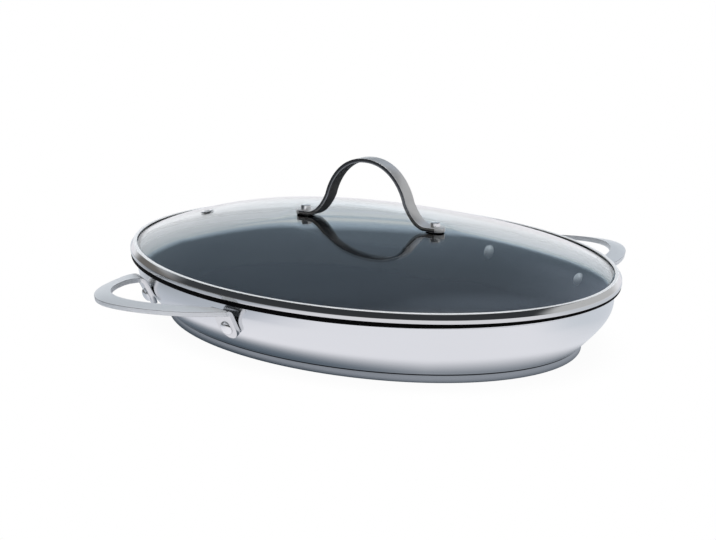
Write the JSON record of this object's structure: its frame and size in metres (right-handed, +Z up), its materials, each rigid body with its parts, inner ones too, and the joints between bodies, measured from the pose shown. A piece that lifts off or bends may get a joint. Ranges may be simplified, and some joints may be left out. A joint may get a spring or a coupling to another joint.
{
  "type": "oval fish pan",
  "caption": "Shallow oval steel pan with a dark non-stick lining, riveted side loop handles and a domed glass lid with an arched strap handle and a steam vent.",
  "frame": {"origin": "middle of the base underside, on the surface the pan stands on", "axes": "+Z up, X through the two side handles, +Y along the length of the oval"},
  "size_m": [0.3632, 0.378, 0.1022],
  "materials": {
    "polished_steel": "polished stainless steel",
    "satin_steel": "satin stainless steel",
    "base_steel": "brushed stainless steel",
    "core_aluminium": "plain",
    "nonstick": "dark grey non-stick coating",
    "seal_rubber": "black silicone",
    "lid_glass": "clear tempered glass"
  },
  "bodies": {
    "pan": {"pan_body": "polished_steel", "nonstick_coating": "nonstick", "base_core": "core_aluminium", "base_cap": "base_steel", "handle_left": "satin_steel", "handle_right": "satin_steel", "rivet_left_front": "polished_steel", "rivet_left_rear": "polished_steel", "rivet_right_front": "polished_steel", "rivet_right_rear": "polished_steel"},
    "lid": {"lid_seal": "seal_rubber", "lid_band": "polished_steel", "lid_glass": "lid_glass", "lid_handle": "satin_steel", "screw_front": "polished_steel", "screw_rear": "polished_steel", "upper_washer_front": "seal_rubber", "upper_washer_rear": "seal_rubber", "lower_washer_front": "seal_rubber", "lower_washer_rear": "seal_rubber", "cap_nut_front": "polished_steel", "cap_nut_rear": "polished_steel", "vent_eyelet": "polished_steel"}
  },
  "joints": [
    {"name": "lid_lift", "type": "slide", "parent": "pan", "child": "lid", "axis": [0, 0, 1], "range_m": [0, 0.14]}
  ]
}
